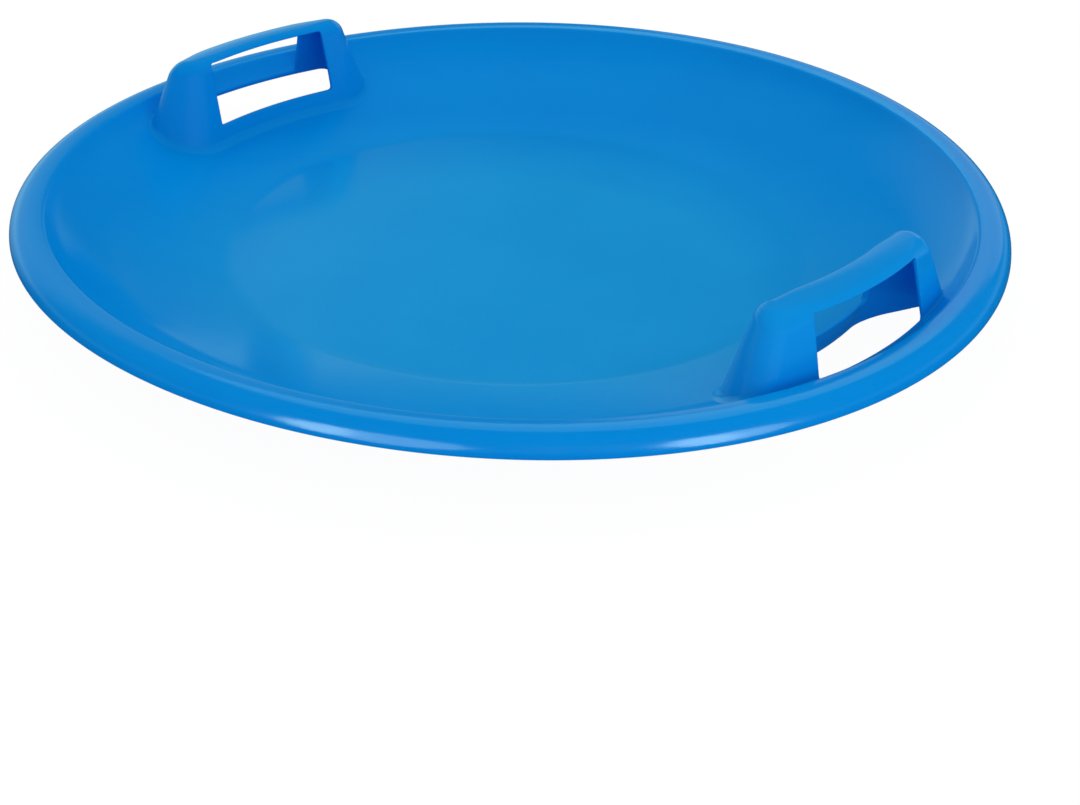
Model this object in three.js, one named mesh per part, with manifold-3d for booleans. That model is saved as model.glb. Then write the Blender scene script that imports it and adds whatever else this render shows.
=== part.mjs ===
// Saucer sled: one shallow round dish with a rolled rim and two hollow loop handles moulded into its wall.
// Millimetres, +Z up, origin under the middle of the flat bottom, +X through one handle and -X through the other.
import * as THREE from "three";
import { mergeVertices } from "three/addons/utils/BufferGeometryUtils.js";
import Module from "manifold-3d";

const wasm = await Module();
wasm.setup();

// Dish
const OUTER_R = 325; // overall radius, over the rolled rim
const RIM_Z = 48; // crown of the rim above the ground
const FLOOR_R = 185; // the flat bottom ends here
const SKIN = 3; // wall thickness of the moulding
// Slope of the wall at these radii; it changes evenly between them, and runs into the rim at the last
const WALL = [
  [FLOOR_R, 0],
  [197, 0.235],
  [262, 0.286],
  [293, 0.724],
  [302.21, 1.2],
];
const BEAD_R = 12.7; // outer rounding of the rolled rim
const FLAT_R = 304.5; // the rim is nearly flat from its crown in to here
const FLAT_SLOPE = 0.2; // its slope here
const SHOULDER_R = 4; // rounding between the flat and the wall
const LIP_DROP = 13.4; // lower edge of the rim below its crown
const SADDLE = 4.0; // the rim dips this much at the handles and rises as much between them
const GAP = 0.3; // clearance left between neighbouring pieces
const SEG = 96; // facets round the dish

// Handles, heights measured from the rim crown and lengths along the arc
const TOP = 29.6; // height of the top edge above the crown, half way across the grip
const TILT = 0.075; // outward fall of the grip per millimetre of radius
const CROWN = 0.7; // rise of the grip's middle over its edges
const EDGE_R = 4; // rounding of the grip's long edges
const MID_R = 270; // middle of the grip
const INNER_AT_26 = 257.7; // radius of the inner face at 26 over the crown
const INNER_LEAN = 0.217; // its outward lean
const OUTER_AT_26 = 282.6;
const OUTER_LEAN = -0.262;
const HALF_TOP = 75.5; // half length at the top
const HALF_BASE = 94; // half length where the posts meet the dish
const BASE_AT = -18;
const CORNER_IN = [13, 27]; // inner corner radius in plan, at the top and at the base
const CORNER_OUT = [12, 14];
const SLOT_HALF = 80; // half length of the slot through the dish
const SLOT_CORNER_IN = 33;
const SLOT_CORNER_OUT = 12;
const HOLLOW_TOP = 26.4; // ceiling of the hollow under the grip
const SILL = -17.8; // lower edge of the finger window
const WINDOW_TOP = 26.2;
const WINDOW_DEG = [12.2, 11.55]; // half angle of the window at the sill and at the top
const OUTER_OPEN_TOP = 25.2;
const OUTER_OPEN_DEG = [10.4, 10.25];
const SPLIT_DEG = 10.0; // grip and palm wall end here, the posts start

const BLUE = { color: 0x0a7fd2, roughness: 0.28, metalness: 0 };

// ---- helpers ----------------------------------------------------------
function solidFrom(geometry) {
  const g = geometry.clone();
  g.deleteAttribute("normal");
  g.deleteAttribute("uv");
  const m = mergeVertices(g, 1e-4);
  let tri = new Uint32Array(m.index.array);
  const build = () =>
    new wasm.Manifold(
      new wasm.Mesh({
        numProp: 3,
        vertProperties: new Float32Array(m.attributes.position.array),
        triVerts: tri,
      }),
    );
  let s = build();
  if (s.volume() < 0) {
    tri = tri.slice();
    for (let i = 0; i < tri.length; i += 3)
      [tri[i + 1], tri[i + 2]] = [tri[i + 2], tri[i + 1]];
    s = build();
  }
  return s;
}

// A closed section of [radius, height] points turned round the Z axis.
function turned(section, segments = SEG) {
  const pts = section.map(([r, z]) => new THREE.Vector2(r, z));
  if (section[0][0] > 0 || section[section.length - 1][0] > 0)
    pts.push(pts[0].clone());
  const g = new THREE.LatheGeometry(pts, segments);
  g.rotateX(Math.PI / 2);
  return solidFrom(g);
}

// Rings of equal length joined into a closed skin, with both ends capped.
function lofted(given) {
  const turn = given[0].map(([x, y]) => new THREE.Vector2(x, y));
  const rings = THREE.ShapeUtils.isClockWise(turn)
    ? given.map((ring) => ring.toReversed())
    : given;
  const n = rings[0].length;
  const position = rings.flat(2);
  const index = [];
  for (let k = 0; k + 1 < rings.length; k++)
    for (let i = 0; i < n; i++) {
      const a = k * n + i,
        b = k * n + ((i + 1) % n);
      index.push(a, b, a + n, b, b + n, a + n);
    }
  const cap = (k, flip) => {
    const ring = rings[k].map(([x, y]) => new THREE.Vector2(x, y));
    for (const [a, b, c] of THREE.ShapeUtils.triangulateShape(ring, []))
      flip
        ? index.push(k * n + a, k * n + c, k * n + b)
        : index.push(k * n + a, k * n + b, k * n + c);
  };
  cap(0, true);
  cap(rings.length - 1, false);
  const g = new THREE.BufferGeometry();
  g.setAttribute(
    "position",
    new THREE.BufferAttribute(new Float32Array(position), 3),
  );
  g.setIndex(index);
  return solidFrom(g);
}

const lerp = (a, b, t) => a + (b - a) * t;
const END = WALL[WALL.length - 1];
// Height of the inside of the dish, and its slope
const bowl = (r) => {
  let z = SKIN + END[1] * Math.max(r - END[0], 0);
  for (let k = 0; k + 1 < WALL.length; k++) {
    const [r0, s0] = WALL[k],
      [r1, s1] = WALL[k + 1],
      d = Math.min(Math.max(r - r0, 0), r1 - r0);
    z += s0 * d + ((s1 - s0) / (r1 - r0)) * 0.5 * d * d;
  }
  return z;
};
const slope = (r) => {
  const k = WALL.findIndex(([r1]) => r < r1);
  if (k < 0) return END[1];
  if (k === 0) return 0;
  const [r0, s0] = WALL[k - 1],
    [r1, s1] = WALL[k];
  return lerp(s0, s1, (r - r0) / (r1 - r0));
};
const under = (r) => bowl(r) - SKIN * Math.hypot(1, slope(r));

// Plan outline of a handle: a band along the arc with rounded corners.
// Points run anticlockwise as [along the arc, radius].
function band(inner, outer, half, cornerIn, cornerOut) {
  const f = Math.min(1, (outer - inner - 0.05) / (cornerIn + cornerOut));
  const ci = cornerIn * f,
    co = cornerOut * f,
    cut = Math.min(cornerIn, half - 20); // the inner corner is longer than it is deep when it is squeezed
  const out = [];
  const corner = (u, v, a0, ru, rv) => {
    for (let k = 0; k <= 6; k++) {
      const t = ((a0 + 15 * k) * Math.PI) / 180;
      out.push([u + ru * Math.cos(t), v + rv * Math.sin(t)]);
    }
  };
  const straight = (to, steps) => {
    const from = out[out.length - 1];
    for (let k = 1; k < steps; k++)
      out.push([lerp(from[0], to[0], k / steps), lerp(from[1], to[1], k / steps)]);
  };
  corner(half - co, outer - co, 0, co, co);
  straight([-(half - co), outer], 12);
  corner(-(half - co), outer - co, 90, co, co);
  corner(-(half - cut), inner + ci, 180, cut, ci);
  straight([half - cut, inner], 12);
  corner(half - cut, inner + ci, 270, cut, ci);
  return out;
}

// The outline of the handle at a height over the crown, drawn in by off.
function level(h, off, lift = () => 0) {
  const t = (TOP - h) / (TOP - BASE_AT);
  const inner = INNER_AT_26 + (h - 26) * INNER_LEAN + off,
    outer = OUTER_AT_26 + (h - 26) * OUTER_LEAN - off,
    half = lerp(HALF_TOP, HALF_BASE, t) - off,
    mid = (inner + outer) / 2;
  return band(
    inner,
    outer,
    half,
    Math.max(1, lerp(CORNER_IN[0], CORNER_IN[1], t) - off),
    Math.max(1, lerp(CORNER_OUT[0], CORNER_OUT[1], t) - off),
  ).map(([u, r]) => toXYZ(u / mid, r, RIM_Z + h + lift(r)));
}
function slotLevel(h, t) {
  // t = 0 at the slot, 1 at the ceiling, where it follows the outside
  const inner = INNER_AT_26 + (h - 26) * INNER_LEAN + SKIN,
    outer = OUTER_AT_26 + (h - 26) * OUTER_LEAN - SKIN + 0.5 * (1 - t),
    half = lerp(SLOT_HALF, HALF_TOP - SKIN, t),
    mid = (inner + outer) / 2;
  return band(
    inner,
    outer,
    half,
    lerp(SLOT_CORNER_IN, CORNER_IN[0] - SKIN, t),
    lerp(SLOT_CORNER_OUT, CORNER_OUT[0] - SKIN, t),
  ).map(([u, r]) => toXYZ(u / mid, r, RIM_Z + h));
}
const toXYZ = (phi, r, z) => [r * Math.cos(phi), r * Math.sin(phi), z];

// A block between two radii and two heights whose sides are radial, with the corners eased.
function wedge(r0, r1, low, high, degLow, degHigh, ease) {
  const outline = [];
  const at = (h) => lerp(degLow, degHigh, (h - low) / (high - low));
  const e = (ease / ((r0 + r1) / 2)) * (180 / Math.PI);
  const add = (deg, h) => outline.push([deg, h]);
  for (let k = 0; k <= 10; k++) add(lerp(-(at(low) - e), at(low) - e, k / 10), low);
  add(at(low) - e * 0.3, low + ease * 0.3);
  add(at(low + ease), low + ease);
  add(at(high - ease), high - ease);
  add(at(high) - e * 0.3, high - ease * 0.3);
  for (let k = 0; k <= 10; k++) add(lerp(at(high) - e, -(at(high) - e), k / 10), high);
  add(-(at(high) - e * 0.3), high - ease * 0.3);
  add(-at(high - ease), high - ease);
  add(-at(low + ease), low + ease);
  add(-(at(low) - e * 0.3), low + ease * 0.3);
  const rings = [r0, r1].map((r) =>
    outline.map(([deg, h]) => toXYZ((deg * Math.PI) / 180, r, RIM_Z + h)),
  );
  const n = outline.length;
  const index = [];
  for (let i = 0; i < n; i++) {
    const b = (i + 1) % n;
    index.push(i, b, i + n, b, b + n, i + n);
  }
  const flat = outline.map(([deg, h]) => new THREE.Vector2(deg, h));
  for (const [a, b, c] of THREE.ShapeUtils.triangulateShape(flat, [])) {
    index.push(a, c, b);
    index.push(n + a, n + b, n + c);
  }
  const g = new THREE.BufferGeometry();
  g.setAttribute(
    "position",
    new THREE.BufferAttribute(new Float32Array(rings.flat(2)), 3),
  );
  g.setIndex(index);
  return solidFrom(g);
}

// Everything between two angles.
function sector(deg0, deg1, low = -60, high = 140) {
  const a = (deg0 * Math.PI) / 180,
    b = (deg1 * Math.PI) / 180,
    m = (a + b) / 2,
    far = 420;
  const ring = (z) => [
    [0, 0, z],
    toXYZ(a, far, z),
    toXYZ(m, far, z),
    toXYZ(b, far, z),
  ];
  return lofted([ring(low), ring(high)]);
}

// ---- dish -------------------------------------------------------------
const floorPan = turned([
  [0, 0],
  [FLOOR_R - GAP / 2, 0],
  [FLOOR_R - GAP / 2, SKIN],
  [0, SKIN],
]);

const wallRadii = [
  FLOOR_R + GAP / 2, 189, 193, 197, 215, 238, 262, 272, 280, 287, 293, 298,
  END[0] - GAP / 2,
];
const wallRing = turned([
  ...wallRadii.map((r) => [r, under(r)]),
  ...wallRadii.toReversed().map((r) => [r, bowl(r)]),
]);

// Top of the rim from the wall out to its crown, as [radius, height, slope]
const beadR = OUTER_R - BEAD_R,
  beadZ = RIM_Z - BEAD_R;
const flatZ = RIM_Z - (FLAT_SLOPE * (beadR - FLAT_R)) / 2;
const rimTop = [];
for (let k = 0; k <= 4; k++) {
  const t = lerp(Math.atan(END[1]), Math.atan(FLAT_SLOPE), k / 4),
    t1 = Math.atan(FLAT_SLOPE);
  rimTop.push([
    FLAT_R - SHOULDER_R * (Math.sin(t) - Math.sin(t1)),
    flatZ - SHOULDER_R * (Math.cos(t1) - Math.cos(t)),
    Math.tan(t),
  ]);
}
for (let k = 1; k <= 3; k++) {
  const r = lerp(FLAT_R, beadR, k / 3),
    s = (FLAT_SLOPE * (beadR - r)) / (beadR - FLAT_R);
  rimTop.push([r, RIM_Z - (s * (beadR - r)) / 2, s]);
}
const startR = END[0] + GAP / 2;
const rimSection = [
  [startR, bowl(END[0]) + END[1] * (startR - END[0])],
  ...rimTop.filter(([r]) => r > startR + 0.2).map(([r, z]) => [r, z]),
];
for (let k = 1; k <= 8; k++) {
  const t = lerp(Math.PI / 2, 0, k / 8);
  rimSection.push([beadR + BEAD_R * Math.cos(t), beadZ + BEAD_R * Math.sin(t)]);
}
rimSection.push([OUTER_R - 0.5, RIM_Z - LIP_DROP], [OUTER_R - SKIN + 0.5, RIM_Z - LIP_DROP]);
for (let k = 0; k <= 6; k++) {
  const t = lerp(0, Math.PI / 2, k / 6);
  rimSection.push([
    beadR + (BEAD_R - SKIN) * Math.cos(t),
    beadZ + (BEAD_R - SKIN) * Math.sin(t),
  ]);
}
for (const [r, z, s] of [rimTop[6], rimTop[4], rimTop[0]])
  rimSection.push([r + (SKIN * s) / Math.hypot(1, s), z - SKIN / Math.hypot(1, s)]);
rimSection.push([startR, under(END[0]) + END[1] * (startR - END[0])]);
const rolledRim = turned(rimSection);

// ---- handle on +X -----------------------------------------------------
const fall = (r) => -(r - MID_R) * TILT;
const hoodOuter = lofted([
  level(-40, 0),
  level(BASE_AT, 0),
  level(4, 0),
  level(TOP - EDGE_R, 0),
  level(TOP - EDGE_R * 0.5, 0.55, (r) => fall(r) * 0.6),
  level(TOP - EDGE_R * 0.13, EDGE_R * 0.45, fall),
  level(TOP, EDGE_R, fall),
  level(TOP + CROWN, EDGE_R + 4, fall),
]);
const hollow = lofted([
  slotLevel(-44, 0),
  slotLevel(-24, 0),
  slotLevel(-2, 0.45),
  slotLevel(HOLLOW_TOP - 3, 1),
  slotLevel(HOLLOW_TOP, 1),
]);
const underDish = turned([
  [0, -60],
  [FLOOR_R, -60],
  [360, -60],
  [360, bowl(360) + GAP],
  ...wallRadii.toReversed().map((r) => [r, bowl(r) + GAP]),
  [0, SKIN + GAP],
]);
const windowCut = wedge(225, 268, SILL, WINDOW_TOP, ...WINDOW_DEG, 2.5);
const outerCut = wedge(270, 330, -45, OUTER_OPEN_TOP, ...OUTER_OPEN_DEG, 2);
const shell = hoodOuter
  .subtract(hollow)
  .subtract(underDish)
  .subtract(windowCut)
  .subtract(outerCut);

const gapDeg = ((GAP / 2 / MID_R) * 180) / Math.PI;
const between = shell.intersect(sector(-SPLIT_DEG + gapDeg, SPLIT_DEG - gapDeg));
const half = between.decompose().sort((a, b) => b.boundingBox().max[2] - a.boundingBox().max[2]);
const grip = half[0];
const palmWall = half[1];
const postA = shell.intersect(sector(-60, -SPLIT_DEG - gapDeg));
const postB = shell.intersect(sector(SPLIT_DEG + gapDeg, 60));

const sideWall = wallRing
  .subtract(hollow)
  .subtract(hollow.rotate([0, 0, 180]));

// ---- the group --------------------------------------------------------
const sag = (x, y) => {
  const r = Math.hypot(x, y),
    t = Math.max(0, (r - FLOOR_R) / (OUTER_R - FLOOR_R));
  return r < 1e-6 ? 0 : (-SADDLE * t * t * (x * x - y * y)) / (r * r);
};

function meshOf(name, solid, turn = 0) {
  const m = solid.getMesh(),
    n = m.numProp,
    c = Math.cos(turn),
    s = Math.sin(turn);
  const v = new Float32Array(m.numVert * 3);
  for (let i = 0; i < m.numVert; i++) {
    const [x0, y0, z] = m.vertProperties.subarray(i * n, i * n + 3);
    const x = c * x0 - s * y0,
      y = s * x0 + c * y0;
    v.set([x, y, z + sag(x, y)], i * 3);
  }
  const g = new THREE.BufferGeometry();
  g.setAttribute("position", new THREE.BufferAttribute(v, 3));
  g.setIndex(new THREE.BufferAttribute(new Uint32Array(m.triVerts), 1));
  g.computeVertexNormals();
  const mesh = new THREE.Mesh(g, new THREE.MeshStandardMaterial(BLUE));
  mesh.name = name;
  return mesh;
}

const sled = new THREE.Group();
sled.name = "saucer_sled";
sled.add(
  meshOf("floor_pan", floorPan),
  meshOf("side_wall", sideWall),
  meshOf("rolled_rim", rolledRim),
);
for (const [tag, turn] of [
  ["handle_a", 0],
  ["handle_b", Math.PI],
])
  sled.add(
    meshOf(tag + "_grip", grip, turn),
    meshOf(tag + "_palm_wall", palmWall, turn),
    meshOf(tag + "_post_right", postA, turn),
    meshOf(tag + "_post_left", postB, turn),
  );

export default sled;
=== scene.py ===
# Saucer sled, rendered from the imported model. Lengths below are millimetres unless a name says otherwise.
import math

import bpy
import numpy as np
from mathutils import Matrix, Vector


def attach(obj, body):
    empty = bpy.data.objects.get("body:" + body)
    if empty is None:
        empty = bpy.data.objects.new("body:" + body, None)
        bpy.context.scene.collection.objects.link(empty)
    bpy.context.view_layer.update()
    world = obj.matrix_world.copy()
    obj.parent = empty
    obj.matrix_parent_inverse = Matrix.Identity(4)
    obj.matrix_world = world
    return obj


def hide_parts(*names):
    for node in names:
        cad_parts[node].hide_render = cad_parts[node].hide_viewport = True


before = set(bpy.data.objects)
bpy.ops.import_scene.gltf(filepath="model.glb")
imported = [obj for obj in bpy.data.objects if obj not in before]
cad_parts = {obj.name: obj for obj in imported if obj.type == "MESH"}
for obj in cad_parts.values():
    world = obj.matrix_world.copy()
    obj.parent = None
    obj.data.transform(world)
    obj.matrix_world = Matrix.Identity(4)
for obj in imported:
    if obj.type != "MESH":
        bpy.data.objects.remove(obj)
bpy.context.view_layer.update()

# ---- dimensions, the same as the CAD's ---------------------------------
OUTER_R, RIM_Z, FLOOR_R, SKIN = 325.0, 48.0, 185.0, 3.0
WALL = ((185.0, 0.0), (197.0, 0.235), (262.0, 0.286), (293.0, 0.724), (302.21, 1.2))  # radius, slope
BEAD_R, FLAT_R, FLAT_SLOPE, SHOULDER_R, LIP_DROP, SADDLE = 12.7, 304.5, 0.2, 4.0, 13.4, 4.0
TOP, TILT, CROWN, EDGE_R, MID_R = 29.6, 0.075, 0.7, 4.0, 270.0
INNER_AT_26, INNER_LEAN, OUTER_AT_26, OUTER_LEAN = 257.7, 0.217, 282.6, -0.262
HALF_TOP, HALF_BASE, BASE_AT = 75.5, 94.0, -18.0
CORNER_IN, CORNER_OUT = (13.0, 27.0), (12.0, 14.0)
SLOT_HALF, SLOT_CORNER_IN, SLOT_CORNER_OUT = 80.0, 33.0, 12.0
HOLLOW_TOP, SILL, WINDOW_TOP, WINDOW_DEG = 26.4, -17.8, 26.2, (12.2, 11.55)
OUTER_OPEN_TOP, OUTER_OPEN_DEG = 25.2, (10.4, 10.25)

# ---- finish of the moulding --------------------------------------------
END_R = 8.5  # rounding at the ends of the grip
ROOT_R = 4.0  # fillet where a handle grows out of the wall
CUT_R = 0.95  # eased edges of the windows and slots
PATCH_DEG, PATCH_R = 23.75, (232.0, 298.0)  # the part of the wall that is made with each handle
STEP = 0.8  # net spacing there
TURNS = 576


def bowl(r):
    """Height of the inside of the dish: its slope changes evenly between the radii in WALL."""
    z = np.full(np.shape(r), SKIN)
    for (r0, s0), (r1, s1) in zip(WALL, WALL[1:]):
        d = np.clip(r - r0, 0, r1 - r0)
        z = z + s0 * d + (s1 - s0) / (r1 - r0) * d * d / 2
    return z + WALL[-1][1] * np.maximum(r - WALL[-1][0], 0)


def bowl_slope(r):
    return np.interp(r, [w[0] for w in WALL], [w[1] for w in WALL])


def under(r):
    return bowl(r) - SKIN * np.sqrt(1 + bowl_slope(r) ** 2)


def sag(r, phi):
    """The saddle of the dish and its slopes along r and phi."""
    t = np.maximum((r - FLOOR_R) / (OUTER_R - FLOOR_R), 0)
    c, s = np.cos(2 * phi), np.sin(2 * phi)
    return -SADDLE * t * t * c, -2 * SADDLE * t * c / (OUTER_R - FLOOR_R), 2 * SADDLE * t * t * s


def to_world(r, phi, z, n_phi, n_r, n_z, turn=0.0):
    """Places and normals, in metres, of points given round the Z axis before the saddle."""
    dz, along_r, along_phi = sag(r, phi)
    n_phi = n_phi - along_phi / np.maximum(r, 1e-6) * n_z
    n_r = n_r - along_r * n_z
    size = np.sqrt(n_phi**2 + n_r**2 + n_z**2)
    n_phi, n_r, n_z = n_phi / size, n_r / size, n_z / size
    c, s = np.cos(phi + turn), np.sin(phi + turn)
    place = np.stack([r * c, r * s, z + dz], -1) / 1000
    normal = np.stack([n_r * c - n_phi * s, n_r * s + n_phi * c, n_z], -1)
    return place, normal


def mesh_object(name, place, normal, faces):
    mesh = bpy.data.meshes.new(name)
    mesh.from_pydata(place.tolist(), [], faces)
    mesh.polygons.foreach_set("use_smooth", np.ones(len(mesh.polygons), bool))
    mesh.normals_split_custom_set_from_vertices(normal.tolist())
    mesh.update()
    piece = bpy.data.objects.new(name, mesh)
    bpy.context.scene.collection.objects.link(piece)
    return piece


# ---- dish: one turned section ------------------------------------------
def arc(centre, radius, start, stop, steps):
    a = np.linspace(start, stop, steps + 1)
    return [(centre[0] + radius * math.cos(t), centre[1] + radius * math.sin(t)) for t in a]


def ease(points, at, radius, steps=6):
    """Rounds the corner points[at] of a polyline, and returns the new polyline."""
    p = np.array(points[at])

    def back_off(direction):
        k, far = at, 0.0
        while far < length and 0 < k < len(points) - 1:
            a, b = np.array(points[k]), np.array(points[k + direction])
            d = np.linalg.norm(b - a)
            if far + d >= length:
                return a + (b - a) * (length - far) / d, k + direction
            far, k = far + d, k + direction
        return np.array(points[k]), k

    a = np.array(points[at - 1]) - p
    b = np.array(points[at + 1]) - p
    a, b = a / np.linalg.norm(a), b / np.linalg.norm(b)
    half = math.acos(max(-1, min(1, float(a @ b)))) / 2
    length = radius / math.tan(half)
    start, i = back_off(-1)
    stop, j = back_off(1)
    new = []
    for k in range(steps + 1):
        t = k / steps
        new.append(tuple((1 - t) ** 2 * start + 2 * t * (1 - t) * p + t * t * stop))
    return points[: i + 1] + new + points[j:], i + 1, i + 1 + steps


def rim_top():
    """The rim from the wall out to its crown: radius, height and slope."""
    bead = OUTER_R - BEAD_R
    flat_z = RIM_Z - FLAT_SLOPE * (bead - FLAT_R) / 2
    last = math.atan(FLAT_SLOPE)
    out = []
    for t in np.linspace(math.atan(WALL[-1][1]), last, 14):
        r = FLAT_R - SHOULDER_R * (math.sin(t) - math.sin(last))
        out.append((r, flat_z - SHOULDER_R * (math.cos(last) - math.cos(t)), math.tan(t)))
    for r in np.linspace(FLAT_R, bead, 11)[1:]:
        slope = FLAT_SLOPE * (bead - r) / (bead - FLAT_R)
        out.append((r, RIM_Z - slope * (bead - r) / 2, slope))
    return out


def dish_section():
    bead = (OUTER_R - BEAD_R, RIM_Z - BEAD_R)
    top = [(0.0, SKIN)] + [(r, SKIN) for r in np.arange(15, 181, 15.0)]
    top += [(r, float(bowl(r))) for r in np.arange(183, 200, 1.0)]
    top += [(r, float(bowl(r))) for r in np.arange(202, 231, 3.0)]
    top += [(r, float(bowl(r))) for r in np.linspace(PATCH_R[0], PATCH_R[1], 34)]
    top += [(r, float(bowl(r))) for r in np.linspace(PATCH_R[1], WALL[-1][0], 6)[1:-1]]
    top += [(r, z) for r, z, _ in rim_top()]
    top += arc(bead, BEAD_R, math.pi / 2, 0, 30)[1:]
    lip = RIM_Z - LIP_DROP
    top += [(OUTER_R, lip), (OUTER_R - SKIN, lip)]
    corner_a, corner_b = len(top) - 2, len(top) - 1
    points = top + arc(bead, BEAD_R - SKIN, 0, math.pi / 2, 20)
    for r, z, slope in rim_top()[-2::-1]:
        size = math.hypot(1, slope)
        points.append((r + SKIN * slope / size, z - SKIN / size))
    points += [(r, float(under(r))) for r in np.linspace(PATCH_R[1], WALL[-1][0], 4)[::-1]]
    points += [(r, float(under(r))) for r in np.linspace(PATCH_R[1], PATCH_R[0], 34)[1:]]
    points += [(r, float(under(r))) for r in np.arange(202, 231, 3.0)[::-1]]
    points += [(r, float(under(r))) for r in np.arange(183, 200, 1.0)[::-1]]
    points += [(r, 0.0) for r in np.arange(15, 181, 15.0)[::-1]] + [(0.0, 0.0)]
    points, *_ = ease(points, corner_b, 1.1)
    points, *_ = ease(points, corner_a, 1.1)
    return np.array(points, float)


def make_dish():
    section = dish_section()
    keep = [0]
    for k in range(1, len(section)):
        if np.linalg.norm(section[k] - section[keep[-1]]) > 0.02:
            keep.append(k)
    section = section[keep]
    step = np.diff(section, axis=0)
    size = np.linalg.norm(step, axis=1)
    unit = step / size[:, None]
    tangent = np.empty_like(section)
    tangent[0], tangent[-1] = unit[0], unit[-1]
    tangent[1:-1] = unit[:-1] * size[1:, None] + unit[1:] * size[:-1, None]
    tangent /= np.linalg.norm(tangent, axis=1)[:, None]
    n_r, n_z = -tangent[:, 1], tangent[:, 0]
    count = len(section)
    phi = np.arange(TURNS) * (2 * math.pi / TURNS)
    r = np.repeat(section[1:-1, 0], TURNS)
    z = np.repeat(section[1:-1, 1], TURNS)
    nr, nz = np.repeat(n_r[1:-1], TURNS), np.repeat(n_z[1:-1], TURNS)
    p = np.tile(phi, count - 2)
    place, normal = to_world(r, p, z, np.zeros_like(r), nr, nz)
    ends = np.array([[0, 0, section[0, 1] / 1000], [0, 0, section[-1, 1] / 1000]])
    place = np.concatenate([place, ends])
    normal = np.concatenate([normal, [[0, 0, 1.0], [0, 0, -1.0]]])
    top, bottom = len(place) - 2, len(place) - 1
    faces, rim_faces = [], []
    middle = (phi + math.pi / TURNS) % (2 * math.pi)
    off = np.abs((middle + math.pi / 2) % math.pi - math.pi / 2)  # distance from +X or -X
    gone = off < math.radians(PATCH_DEG)
    for k in range(count - 3):
        a, b = section[k + 1, 0], section[k + 2, 0]
        inside = min(a, b) > PATCH_R[0] - 0.01 and max(a, b) < PATCH_R[1] + 0.01
        made = rim_faces if min(a, b) > FLAT_R - 0.3 else faces
        base = k * TURNS
        for j in range(TURNS):
            if inside and gone[j]:
                continue
            nxt = (j + 1) % TURNS
            made.append((base + j, base + TURNS + j, base + TURNS + nxt, base + nxt))
    for j in range(TURNS):
        nxt = (j + 1) % TURNS
        faces.append((top, j, nxt))
        base = (count - 3) * TURNS
        faces.append((bottom, base + nxt, base + j))
    pieces = []
    for name, part in (("dish_shell", faces), ("rim_shell", rim_faces)):
        used = np.unique(np.concatenate([np.array(f) for f in part]))
        new = np.full(len(place), -1)
        new[used] = np.arange(len(used))
        pieces.append(mesh_object(name, place[used], normal[used], [[int(new[v]) for v in f] for f in part]))
    return pieces


# ---- handles: a net round a distance field -----------------------------
def both(a, b, r):
    """Where a and b overlap, with a round edge."""
    return np.minimum(-r, np.maximum(a, b)) + np.hypot(np.maximum(r + a, 0), np.maximum(r + b, 0))


def either(a, b, r):
    """a and b together, with a fillet."""
    return np.maximum(r, np.minimum(a, b)) - np.hypot(np.maximum(r - a, 0), np.maximum(r - b, 0))


def smooth(x, low, high):
    t = np.clip((x - low) / (high - low), 0, 1)
    return t * t * (3 - 2 * t)


def rounded(x, y, half_x, half_y, corner):
    qx, qy = np.abs(x) - half_x + corner, np.abs(y) - half_y + corner
    return np.minimum(np.maximum(qx, qy), 0) + np.hypot(np.maximum(qx, 0), np.maximum(qy, 0)) - corner


def band(u, r, inner, outer, half, corner_in, corner_out):
    """Distance from a band along the arc with rounded corners."""
    f = np.minimum(1, (outer - inner - 0.05) / (corner_in + corner_out))
    ci, co = corner_in * f, corner_out * f
    low, high = inner + ci, outer - co
    near = r < (low + high) / 2
    corner = np.where(near, ci, co)
    qr = np.where(near, low - r, r - high)
    qu = np.abs(u) - (half - corner)
    return np.minimum(np.maximum(qu, qr), 0) + np.hypot(np.maximum(qu, 0), np.maximum(qr, 0)) - corner


def hood(phi, r, h):
    t = (TOP - h) / (TOP - BASE_AT)
    inner = INNER_AT_26 + (h - 26) * INNER_LEAN
    outer = OUTER_AT_26 + (h - 26) * OUTER_LEAN
    u = phi * (inner + outer) / 2
    side = band(
        u, r, inner, outer, HALF_TOP + (HALF_BASE - HALF_TOP) * t,
        CORNER_IN[0] + (CORNER_IN[1] - CORNER_IN[0]) * t,
        CORNER_OUT[0] + (CORNER_OUT[1] - CORNER_OUT[0]) * t,
    )
    crown = CROWN * np.maximum(1 - ((r - MID_R) / 9.0) ** 2, -0.6)
    roof = h - TOP - crown + (r - MID_R) * TILT
    return both(side, roof, EDGE_R + (END_R - EDGE_R) * smooth(np.abs(u), 40, 66))


def hollow(phi, r, h):
    t = np.interp(h, [-24, -2, 23.4], [0, 0.45, 1])
    inner = INNER_AT_26 + (h - 26) * INNER_LEAN + SKIN
    outer = OUTER_AT_26 + (h - 26) * OUTER_LEAN - SKIN + 0.5 * (1 - t)
    u = phi * (inner + outer) / 2
    side = band(
        u, r, inner, outer, SLOT_HALF + (HALF_TOP - SKIN - SLOT_HALF) * t,
        SLOT_CORNER_IN + (CORNER_IN[0] - SKIN - SLOT_CORNER_IN) * t,
        SLOT_CORNER_OUT + (CORNER_OUT[0] - SKIN - SLOT_CORNER_OUT) * t,
    )
    return both(side, h - HOLLOW_TOP, 2.2)


def opening(phi, r, h, low, high, deg, corner):
    half = np.radians(np.interp(h, [low, high], deg)) * r
    return rounded(phi * r, h - (low + high) / 2, half, (high - low) / 2, corner)


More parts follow.
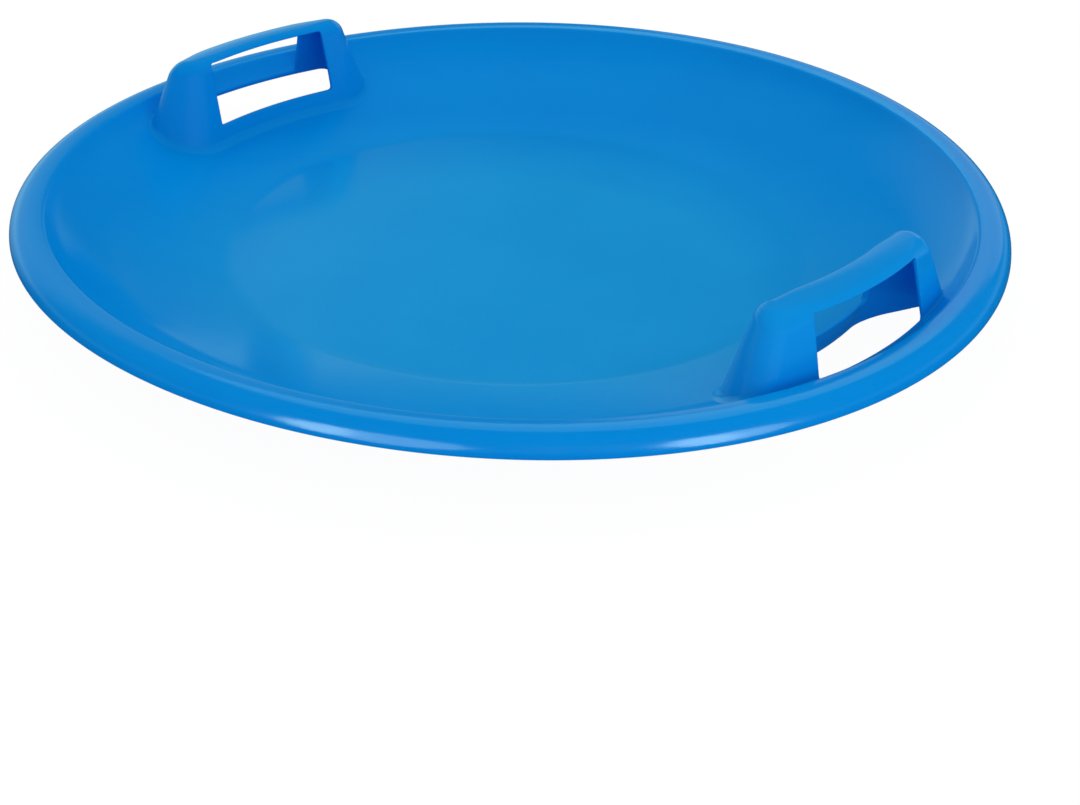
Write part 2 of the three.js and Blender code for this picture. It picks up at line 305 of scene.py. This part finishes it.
def moulding(phi, r, z):
    """Distance from the wall and the handle that grows out of it, negative inside."""
    h = z - RIM_Z
    lean = np.sqrt(1 + bowl_slope(r) ** 2)
    loop = hood(phi, r, h)
    window = np.maximum(opening(phi, r, h, SILL, WINDOW_TOP, WINDOW_DEG, 2.5), r - 268)
    outer = np.maximum(opening(phi, r, h, -70, OUTER_OPEN_TOP, OUTER_OPEN_DEG, 2.0), 270 - r)
    loop = both(loop, -outer, CUT_R)
    root = ROOT_R - (ROOT_R - 2.2) * smooth(r, 280, 292)
    top = either((z - bowl(r)) / lean, loop, root)
    whole = np.maximum(top, (under(r) - z) / lean)
    whole = both(whole, -hollow(phi, r, h), CUT_R)
    return both(whole, -window, CUT_R)


def net(field, axes):
    """Surface nets: a vertex in each cell that the surface crosses, a quad for each edge that crosses it."""
    inside = field < 0
    shape = np.array(field.shape)
    corners = [
        inside[i : shape[0] - 1 + i, j : shape[1] - 1 + j, k : shape[2] - 1 + k]
        for i in (0, 1) for j in (0, 1) for k in (0, 1)
    ]
    total = sum(c.astype(np.int8) for c in corners)
    active = (total > 0) & (total < 8)
    number = np.full(active.shape, -1, np.int64)
    cells = np.argwhere(active)
    number[active] = np.arange(len(cells))
    place, hits = np.zeros((len(cells), 3)), np.zeros(len(cells))
    for axis in range(3):
        others = [k for k in range(3) if k != axis]
        for s in (0, 1):
            for t in (0, 1):
                a = cells.copy()
                a[:, others[0]] += s
                a[:, others[1]] += t
                b = a.copy()
                b[:, axis] += 1
                fa, fb = field[tuple(a.T)], field[tuple(b.T)]
                cross = (fa < 0) != (fb < 0)
                share = np.where(cross, fa / np.where(cross, fa - fb, 1), 0)
                at = np.stack([axes[k][a[:, k]] for k in range(3)], -1)
                at[:, axis] += share * (axes[axis][1] - axes[axis][0])
                place[cross] += at[cross]
                hits[cross] += 1
    place /= hits[:, None]
    faces = []
    for axis in range(3):
        p, q = (axis + 1) % 3, (axis + 2) % 3
        low = [slice(None)] * 3
        high = [slice(None)] * 3
        low[axis], high[axis] = slice(0, -1), slice(1, None)
        change = inside[tuple(low)] != inside[tuple(high)]
        at = np.argwhere(change)
        ok = (at[:, p] > 0) & (at[:, p] < shape[p] - 1) & (at[:, q] > 0) & (at[:, q] < shape[q] - 1)
        at = at[ok]
        ring = []
        for dp, dq in ((-1, -1), (0, -1), (0, 0), (-1, 0)):
            c = at.copy()
            c[:, p] += dp
            c[:, q] += dq
            ring.append(number[tuple(c.T)])
        quad = np.stack(ring, -1)
        solid_low = inside[tuple(at.T)]
        quad[~solid_low] = quad[~solid_low][:, ::-1]
        faces.append(quad)
    return place, np.concatenate(faces), cells


def make_handles():
    span = math.radians(PATCH_DEG) * MID_R
    counts = [round(2 * span / STEP), round((PATCH_R[1] - PATCH_R[0]) / STEP)]
    starts, steps = [-span, PATCH_R[0]], [2 * span / counts[0], (PATCH_R[1] - PATCH_R[0]) / counts[1]]
    axes = [starts[k] + (np.arange(counts[k] + 2) - 0.5) * steps[k] for k in (0, 1)]
    axes.append(np.arange(8.5, RIM_Z + TOP + 4, STEP))
    u, r, z = np.meshgrid(*axes, indexing="ij")
    place, faces, cells = net(moulding(u / MID_R, r, z), axes)
    # the outermost layers of cells lie on the cuts, so that the piece meets the dish exactly
    held = np.zeros((len(place), 3), bool)
    for k in (0, 1):
        first, last = cells[:, k] == 0, cells[:, k] == counts[k]
        place[first, k] = starts[k]
        place[last, k] = starts[k] + counts[k] * steps[k]
        held[:, k] = first | last

    def look(p):
        value = moulding(p[:, 0] / MID_R, p[:, 1], p[:, 2])
        slope = np.empty_like(p)
        for k in range(3):
            d = np.zeros(3)
            d[k] = 0.04
            slope[:, k] = (
                moulding((p + d)[:, 0] / MID_R, (p + d)[:, 1], (p + d)[:, 2])
                - moulding((p - d)[:, 0] / MID_R, (p - d)[:, 1], (p - d)[:, 2])
            ) / 0.08
        return value, slope

    for _ in range(5):
        value, slope = look(place)
        free = np.where(held, 0, slope)
        move = -value[:, None] * free / np.maximum((free**2).sum(1), 0.05)[:, None]
        size = np.linalg.norm(move, axis=1)
        move *= np.minimum(1, 0.4 / np.maximum(size, 1e-9))[:, None]
        place += move
    _, slope = look(place)
    phi, r, z = place[:, 0] / MID_R, place[:, 1], place[:, 2]
    made = []
    for name, turn in (("handle_a", 0.0), ("handle_b", math.pi)):
        xyz, normal = to_world(r, phi, z, slope[:, 0] * MID_R / r, slope[:, 1], slope[:, 2], turn)
        high = z[faces].mean(1) > RIM_Z + 10
        for part, chosen in (("root", faces[~high]), ("loop", faces[high])):
            used = np.unique(chosen)
            new = np.full(len(xyz), -1)
            new[used] = np.arange(len(used))
            made.append(mesh_object(f"{name}_{part}", xyz[used], normal[used], new[chosen][:, ::-1].tolist()))
    return made


dish, rim = make_dish()
root_a, loop_a, root_b, loop_b = make_handles()
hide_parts("floor_pan", "side_wall")
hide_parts("rolled_rim")
for tag, root, loop in (("handle_a", root_a, loop_a), ("handle_b", root_b, loop_b)):
    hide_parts(*[f"{tag}_{n}" for n in ("palm_wall", "post_right", "post_left")])
    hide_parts(f"{tag}_grip")
everything = (dish, rim, root_a, loop_a, root_b, loop_b)
for piece in everything:
    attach(piece, "root")


# ---- material ----------------------------------------------------------
def material(name):
    m = bpy.data.materials.new(name)
    m.use_nodes = True
    return m, m.node_tree.nodes, m.node_tree.links


def blue_moulding():
    m, nodes, links = material("blue_moulding")
    shader = nodes["Principled BSDF"]
    shader.inputs["IOR"].default_value = 1.5
    shader.inputs["Specular IOR Level"].default_value = 0.3
    shader.inputs["Specular Tint"].default_value = (0.7, 1.0, 0.85, 1)
    where = nodes.new("ShaderNodeTexCoord")

    def noise(scale, detail, rough, stretch=None):
        source = where.outputs["Object"]
        if stretch:
            mapping = nodes.new("ShaderNodeMapping")
            mapping.inputs["Scale"].default_value = stretch
            mapping.inputs["Rotation"].default_value = (0, 0, 0.6)
            links.new(source, mapping.inputs["Vector"])
            source = mapping.outputs["Vector"]
        n = nodes.new("ShaderNodeTexNoise")
        n.inputs["Scale"].default_value = scale
        n.inputs["Detail"].default_value = detail
        n.inputs["Roughness"].default_value = rough
        links.new(source, n.inputs["Vector"])
        return n.outputs["Fac"]

    def remap(value, a, b, c, d):
        n = nodes.new("ShaderNodeMapRange")
        for k, v in zip(("From Min", "From Max", "To Min", "To Max"), (a, b, c, d)):
            n.inputs[k].default_value = v
        links.new(value, n.inputs["Value"])
        return n.outputs["Result"]

    def maths(kind, a, b):
        n = nodes.new("ShaderNodeMath")
        n.operation = kind
        for k, v in enumerate((a, b)):
            if isinstance(v, (int, float)):
                n.inputs[k].default_value = v
            else:
                links.new(v, n.inputs[k])
        return n.outputs[0]

    def blend(factor, first, second):
        n = nodes.new("ShaderNodeMix")
        n.data_type = "RGBA"
        for socket, v in ((n.inputs[0], factor), (n.inputs[6], first), (n.inputs[7], second)):
            if isinstance(v, tuple):
                socket.default_value = (*v, 1)
            else:
                links.new(v, socket)
        return n.outputs[2]

    # painted light: the flat bottom, which lies on the white table, is painted paler and greener than the raised
    # parts, standing in for the extra light and reflection it catches; the pale patch is centred a little off the
    # middle
    split = nodes.new("ShaderNodeSeparateXYZ")
    links.new(where.outputs["Object"], split.inputs[0])
    x, y = maths("SUBTRACT", split.outputs["X"], 0.0345), maths("ADD", split.outputs["Y"], 0.0362)
    radius = maths("SQRT", maths("ADD", maths("MULTIPLY", x, x), maths("MULTIPLY", y, y)), 0.0)
    raised = remap(radius, 0.15, 0.27, 0.0, 1.0)
    tone_with_painted_floor_light = blend(raised, (0.012, 0.405, 0.93), (0.0, 0.315, 0.90))
    dim_with_painted_floor_light = blend(raised, (0.009, 0.382, 0.90), (0.0, 0.298, 0.87))
    # both tones carry that painted light on the flat bottom; the cloud between them is random tone
    cloud = remap(noise(9.0, 3.0, 0.5), 0.3, 0.7, 0.0, 1.0)
    skin = blend(cloud, dim_with_painted_floor_light, tone_with_painted_floor_light)
    # fine scuffs, lighter and duller than the skin
    scuff_a = remap(noise(30.0, 6.0, 0.7, (1.0, 14.0, 1.0)), 0.66, 0.78, 0.0, 1.0)
    scuff_b = remap(noise(26.0, 6.0, 0.7, (11.0, 1.0, 1.0)), 0.67, 0.80, 0.0, 1.0)
    scuffs = maths("MAXIMUM", scuff_a, scuff_b)
    links.new(blend(maths("MULTIPLY", scuffs, 0.12), skin, (0.03, 0.38, 0.92)), shader.inputs["Base Color"])
    rough = remap(noise(60.0, 4.0, 0.6), 0.25, 0.75, 0.12, 0.16)
    links.new(maths("ADD", rough, maths("MULTIPLY", scuffs, 0.12)), shader.inputs["Roughness"])
    bump = nodes.new("ShaderNodeBump")
    bump.inputs["Strength"].default_value = 0.05
    bump.inputs["Distance"].default_value = 0.0006
    links.new(maths("ADD", noise(420.0, 3.0, 0.5), maths("MULTIPLY", scuffs, -0.4)), bump.inputs["Height"])
    links.new(bump.outputs["Normal"], shader.inputs["Normal"])
    return m


blue = blue_moulding()
for piece in everything:
    piece.data.materials.append(blue)

# ---- camera ------------------------------------------------------------
# Solved in a frame that has the picture's x to the right and y away from the viewer; the object is turned in it.
TURN = math.radians(43.63)
DISTANCE, ELEVATION = 1.216285, 0.4145046
YAW, PITCH, ROLL = -0.0189285, -0.1213873, 0.0254411


def from_view(x, y, z):
    """A place or direction in the viewer's frame, turned into the object's."""
    return Vector((x * math.cos(TURN) - y * math.sin(TURN), x * math.sin(TURN) + y * math.cos(TURN), z))


p = -ELEVATION + PITCH
forward = from_view(-math.sin(YAW) * math.cos(p), math.cos(YAW) * math.cos(p), math.sin(p))
right = from_view(math.cos(YAW), math.sin(YAW), 0)
up = right.cross(forward)
across = math.cos(ROLL) * right + math.sin(ROLL) * up
upright = -math.sin(ROLL) * right + math.cos(ROLL) * up
lens = bpy.data.cameras.new("camera")
lens.lens, lens.sensor_width, lens.sensor_fit = 1821.283 / 1080 * 36, 36, "HORIZONTAL"
lens.clip_start, lens.clip_end = 0.01, 60
camera = bpy.data.objects.new("camera", lens)
bpy.context.scene.collection.objects.link(camera)
place = from_view(0, -DISTANCE * math.cos(ELEVATION), DISTANCE * math.sin(ELEVATION)) + Vector((0, 0, RIM_Z / 1000))
camera.matrix_world = Matrix.Translation(place) @ Matrix((across, upright, -forward)).transposed().to_4x4()
bpy.context.scene.camera = camera

# ---- floor, light, colour ----------------------------------------------
def plane(name, height):
    mesh = bpy.data.meshes.new(name)
    mesh.from_pydata([(-6, -6, 0), (6, -6, 0), (6, 6, 0), (-6, 6, 0)], [], [(0, 1, 2, 3)])
    sheet = bpy.data.objects.new(name, mesh)
    sheet.location.z = height
    bpy.context.scene.collection.objects.link(sheet)
    m, nodes, links = material(name)
    shader = nodes["Principled BSDF"]
    shader.inputs["Base Color"].default_value = (0.05, 0.05, 0.05, 1)
    shader.inputs["Roughness"].default_value = 0.9
    shader.inputs["Specular IOR Level"].default_value = 0.0
    shader.inputs["Emission Color"].default_value = (1, 1, 1, 1)
    shader.inputs["Emission Strength"].default_value = 0.97
    mesh.materials.append(m)
    return sheet, shader, nodes, links


# The pale floor as the camera sees it, and under it the light that it throws back up, less of it below the sled
floor, *_ = plane("studio_floor", -0.0002)
floor.visible_diffuse = floor.visible_glossy = floor.visible_shadow = False
bounce, shader, nodes, links = plane("studio_floor_bounce", -0.0006)
bounce.visible_camera = bounce.visible_glossy = bounce.visible_shadow = False
shader.inputs["Emission Strength"].default_value = 1.0
where = nodes.new("ShaderNodeTexCoord")
length = nodes.new("ShaderNodeVectorMath")
length.operation = "LENGTH"
links.new(where.outputs["Object"], length.inputs[0])
shade = nodes.new("ShaderNodeMapRange")
shade.interpolation_type = "SMOOTHSTEP"
shade.inputs["From Min"].default_value, shade.inputs["From Max"].default_value = 0.32, 0.60
links.new(length.outputs["Value"], shade.inputs["Value"])
# what comes through the plastic from above is blue
thrown = nodes.new("ShaderNodeMix")
thrown.data_type = "RGBA"
thrown.inputs[6].default_value = (0.0, 0.07, 0.28, 1)
thrown.inputs[7].default_value = (0.59, 0.98, 0.98, 1)
links.new(shade.outputs["Result"], thrown.inputs[0])
links.new(thrown.outputs[2], shader.inputs["Emission Color"])


def softbox(name, x, y, z, width, height, power, target=(0, 0, 0), colour=(1, 1, 1)):
    light = bpy.data.lights.new(name, "AREA")
    light.shape, light.size, light.size_y, light.energy, light.color = "RECTANGLE", width, height, power, colour
    lamp = bpy.data.objects.new(name, light)
    bpy.context.scene.collection.objects.link(lamp)
    at, aim = from_view(x, y, z), from_view(*target)
    lamp.location = at
    lamp.rotation_euler = (aim - at).to_track_quat("-Z", "Y").to_euler()
    return lamp


def around(azimuth, elevation, distance=3.0):
    a, e = math.radians(azimuth), math.radians(elevation)
    return distance * math.cos(a) * math.cos(e), distance * math.sin(a) * math.cos(e), distance * math.sin(e)


# Lamps seen only by the gloss: two pairs whose highlights run along the front of the rolled rim,
# and two broad ones behind that lighten the crown of the rim and the tops of the grips
def only(name, *pieces):
    group = bpy.data.collections.new(name)
    for piece in pieces:
        group.objects.link(piece)
    return group


on_rim, on_raised = only("on_rim", rim), only("on_raised", rim, loop_a, loop_b)
for name, azimuth, elevation, width, height, power, lit in (
    ("strip_left", -115, 11, 1.9, 2.2, 50.0, on_rim),
    ("strip_left_end", -127, 11, 0.8, 2.2, 32.0, on_rim),
    ("strip_right", -46, 7, 1.3, 1.9, 36.0, on_rim),
    ("strip_right_end", -52, 7, 0.8, 1.9, 26.0, on_rim),
    ("rear", 65, 19, 2.2, 1.2, 3.3, on_raised),
    ("rear_high", 80, 54, 2.9, 2.8, 26.0, on_rim),
):
    colour = (0.5, 1.0, 0.95) if name == "rear_high" else (1, 1, 1)
    lamp = softbox(name, *around(azimuth, elevation), width, height, power, colour=colour)
    lamp.data.shape = "ELLIPSE"
    lamp.light_linking.receiver_collection = lit
    lamp.visible_diffuse = False
# Large fills, too broad and even to show as reflections
for name, azimuth, elevation, width, height, power in (
    ("fill_top", 90, 54, 2.4, 2.0, 14),
    ("fill_front", -60, 20, 3.0, 1.2, 16),
):
    softbox(name, *around(azimuth, elevation, 2.8), width, height, power).visible_glossy = False

# The room: brightness by height, from straight down to straight up
world = bpy.data.worlds.new("studio")
bpy.context.scene.world = world
world.use_nodes = True
nodes, links = world.node_tree.nodes, world.node_tree.links
where = nodes.new("ShaderNodeTexCoord")
parts = nodes.new("ShaderNodeSeparateXYZ")
links.new(where.outputs["Generated"], parts.inputs[0])
ramp = nodes.new("ShaderNodeValToRGB")
steps = ramp.color_ramp.elements
for at, colour in (
    (0.0, (0.008, 0.04, 0.05)),
    (0.46, (0.012, 0.08, 0.11)),
    (0.505, (0.18, 0.43, 0.52)),
    (0.55, (0.18, 0.43, 0.52)),
    (0.61, (0.02, 0.11, 0.12)),
    (0.68, (0.018, 0.09, 0.09)),
    (0.80, (0.02, 0.10, 0.10)),
    (0.91, (0.03, 0.15, 0.15)),
    (1.0, (0.012, 0.06, 0.06)),
):
    step = steps.new(at) if 0 < at < 1 else steps[0 if at == 0 else len(steps) - 1]
    step.position, step.color = at, (*colour, 1)
lift = nodes.new("ShaderNodeMapRange")
lift.inputs["From Min"].default_value = -1.0
links.new(parts.outputs["Z"], lift.inputs["Value"])
links.new(lift.outputs["Result"], ramp.inputs["Fac"])
# a pale wall far off on the left, behind the sled
toward = from_view(math.cos(math.radians(122)), math.sin(math.radians(122)), 0.18).normalized()
facing = nodes.new("ShaderNodeVectorMath")
facing.operation = "DOT_PRODUCT"
facing.inputs[1].default_value = toward
links.new(where.outputs["Generated"], facing.inputs[0])
glow = nodes.new("ShaderNodeMapRange")
glow.interpolation_type = "SMOOTHSTEP"
glow.inputs["From Min"].default_value = math.cos(math.radians(35))
glow.inputs["From Max"].default_value = math.cos(math.radians(10))
glow.inputs["To Max"].default_value = 0.50
links.new(facing.outputs["Value"], glow.inputs["Value"])
tint = nodes.new("ShaderNodeVectorMath")
tint.operation = "SCALE"
tint.inputs[0].default_value = (0.65, 1.0, 1.0)
links.new(glow.outputs["Result"], tint.inputs["Scale"])
total = nodes.new("ShaderNodeVectorMath")
total.operation = "ADD"
links.new(ramp.outputs["Color"], total.inputs[0])
links.new(tint.outputs["Vector"], total.inputs[1])
links.new(total.outputs["Vector"], nodes["Background"].inputs["Color"])
# what the gloss sees is that room; the light on matt surfaces is even
even = nodes.new("ShaderNodeBackground")
even.inputs["Color"].default_value = (0.95, 1.0, 1.0, 1)
even.inputs["Strength"].default_value = 0.55
kind = nodes.new("ShaderNodeLightPath")
either_one = nodes.new("ShaderNodeMixShader")
links.new(kind.outputs["Is Glossy Ray"], either_one.inputs[0])
links.new(even.outputs[0], either_one.inputs[1])
links.new(nodes["Background"].outputs[0], either_one.inputs[2])
# behind the floor the camera sees the same white
backdrop = nodes.new("ShaderNodeBackground")
backdrop.inputs["Color"].default_value = (1, 1, 1, 1)
seen = nodes.new("ShaderNodeMixShader")
links.new(kind.outputs["Is Camera Ray"], seen.inputs[0])
links.new(either_one.outputs[0], seen.inputs[1])
links.new(backdrop.outputs[0], seen.inputs[2])
links.new(seen.outputs[0], nodes["World Output"].inputs["Surface"])

view = bpy.context.scene.view_settings
view.view_transform, view.look, view.exposure, view.gamma = "Standard", "None", 0.0, 1.0
